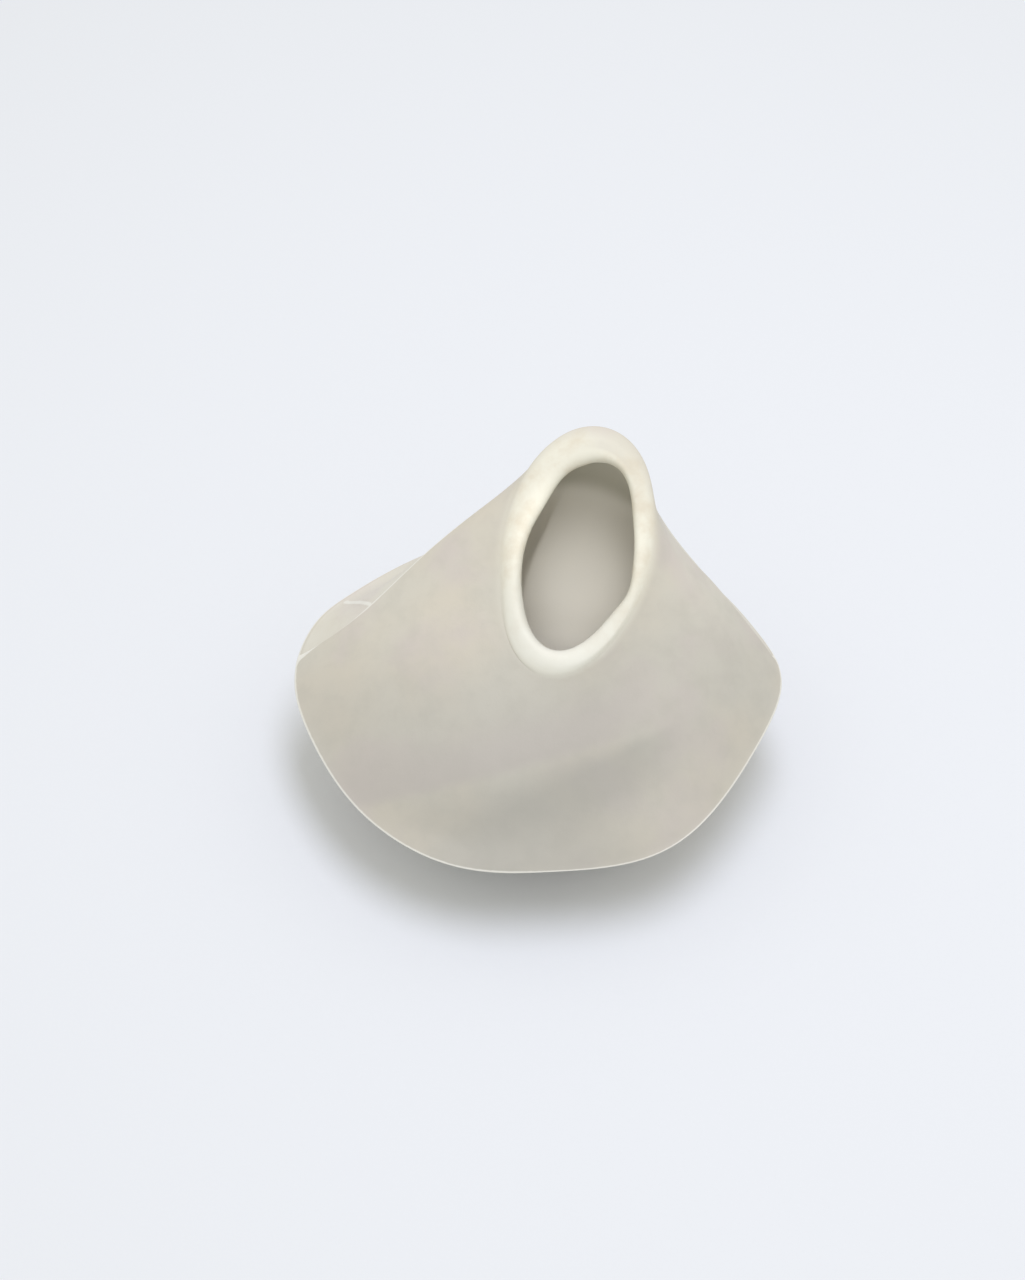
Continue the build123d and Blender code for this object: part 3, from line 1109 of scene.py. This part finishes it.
class VASE_OT_put_skin_away(bpy.types.Operator):
    """Remove the whole skin once its pieces are cut"""

    bl_idname = "vase.put_skin_away"
    bl_label = "Put skin away"

    def execute(self, context):
        whole = bpy.data.objects[SKIN]
        mesh = whole.data
        bpy.data.objects.remove(whole)
        bpy.data.meshes.remove(mesh)
        return {"FINISHED"}


class VASE_OT_stage(bpy.types.Operator):
    """Lay the floor and set the light and the camera"""

    bl_idname = "vase.stage"
    bl_label = "Stage"

    def execute(self, context):
        look = context.scene.vase_stage
        lay_floor(look)
        set_light(look)
        set_sky(context.scene, look)
        set_camera(context.scene)
        return {"FINISHED"}


def lay_floor(look):
    """A wide pale floor that takes the vase's shadow."""
    bpy.ops.mesh.primitive_grid_add(x_subdivisions=8, y_subdivisions=8, size=look.floor_size)
    floor = bpy.context.object
    floor.name = "floor"
    finish = Finish("floor_paper")
    place = finish.node("TexCoord", {}, {}, output="Object")
    fibre = finish.noise(place, 900.0)
    pale = tuple(look.floor_color)
    dim = tuple(value * 0.985 for value in pale)
    finish.fill(finish.shader.inputs["Base Color"], finish.mixed(fibre, pale, dim))
    finish.shader.inputs["Roughness"].default_value = 0.9
    finish.shader.inputs["Specular IOR Level"].default_value = 0.0
    floor.data.materials.append(finish.material)


def add_lamp(kind, name, aim, towards, power):
    """Adds a lamp that lies some way off from what it is aimed at."""
    bpy.ops.object.light_add(type=kind, location=aim + towards)
    lamp = bpy.context.object
    lamp.name = name
    lamp.data.energy = power
    lamp.rotation_euler = towards.to_track_quat("Z", "Y").to_euler()
    return lamp


def set_light(look):
    """A soft light from overhead and a little to the right, and a small one into the mouth."""
    towards = KEY_TOWARDS * look.key_height
    key = add_lamp("AREA", "key_light", Vector(), towards, look.key_power)
    key.data.shape = "ELLIPSE"
    # The first axis of the turned lamp runs from front to back
    key.data.size = look.key_depth
    key.data.size_y = look.key_width
    key.data.color = look.key_color
    key.visible_camera = False
    aim = Vector(MOUTH_PLANE.point(*SPOT_AIM))
    spot = add_lamp("SPOT", "mouth_light", aim, SPOT_TOWARDS * SPOT_DISTANCE, look.mouth_power)
    spot.data.spot_size = radians(SPOT_ANGLE)
    spot.data.spot_blend = 1.0
    spot.data.shadow_soft_size = SPOT_RADIUS


def set_sky(scene, look):
    """An even sky that lights the vase, with the floor's colour to the camera and reflections."""
    scene.world = bpy.data.worlds.new("even_sky")
    scene.world.use_nodes = True
    sky = Nodes(scene.world.node_tree)
    light = sky.node("Background", {}, {"Color": look.sky_color, "Strength": look.sky_strength})
    shown = sky.node("Background", {}, {"Color": look.floor_color})
    seen = 0
    for kind in ("Is Camera Ray", "Is Glossy Ray", "Is Transmission Ray"):
        ray = sky.node("LightPath", {}, {}, output=kind)
        seen = ray.math("MAXIMUM", ray, seen)
    mix = sky.node("MixShader", {}, {"Fac": seen, 1: light, 2: shown})
    sky.fill(sky.tree.nodes["World Output"].inputs["Surface"], mix)


def set_camera(scene):
    """The photograph's camera, looking down at the mouth from the front, with plain colours."""
    tilt = radians(CAMERA_ELEVATION)
    towards = Vector((0, -cos(tilt), sin(tilt)))
    bpy.ops.object.camera_add(location=AIM + towards * CAMERA_DISTANCE)
    camera = bpy.context.object
    camera.name = "photo_camera"
    camera.rotation_euler = (pi / 2 - tilt, 0, 0)
    camera.data.lens = CAMERA_LENS
    camera.data.sensor_width = SENSOR_WIDTH
    camera.data.shift_x = (PHOTO_WIDTH / 2 - AIM_PIXEL[0]) / PHOTO_HEIGHT
    camera.data.shift_y = (AIM_PIXEL[1] - PHOTO_HEIGHT / 2) / PHOTO_HEIGHT
    scene.camera = camera
    scene.view_settings.view_transform = "Standard"


class VASE_PT_panel(bpy.types.Panel):
    """Shows the settings of the vase, then its steps in the order in which they run"""

    bl_idname = "VASE_PT_panel"
    bl_label = "Pillow vase"
    bl_space_type = "VIEW_3D"
    bl_region_type = "UI"
    bl_category = "Pillow vase"

    def draw(self, context):
        scene = context.scene
        for group in (scene.vase_shape, scene.vase_look, scene.vase_stage):
            for key in group.__annotations__:
                self.layout.prop(group, key)
        for step in STEPS:
            self.layout.operator(step.bl_idname)


STEPS = (
    VASE_OT_shape_skin,
    VASE_OT_base_slab,
    VASE_OT_back_slab,
    VASE_OT_front_slab,
    VASE_OT_neck_collar,
    VASE_OT_lip_roll,
    VASE_OT_put_skin_away,
    VASE_OT_stage,
)
GROUPS = {"vase_shape": VaseShape, "vase_look": VaseLook, "vase_stage": VaseStage}


def register():
    for key, group in GROUPS.items():
        bpy.utils.register_class(group)
        setattr(bpy.types.Scene, key, PointerProperty(type=group))
    for step in (*STEPS, VASE_PT_panel):
        bpy.utils.register_class(step)


def unregister():
    for step in (*STEPS, VASE_PT_panel):
        bpy.utils.unregister_class(step)
    for key, group in GROUPS.items():
        delattr(bpy.types.Scene, key)
        bpy.utils.unregister_class(group)


def main():
    """Registers the add-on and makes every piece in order."""
    register()
    for step in STEPS:
        family, name = step.bl_idname.split(".")
        getattr(getattr(bpy.ops, family), name)()


if __name__ == "__main__":
    main()
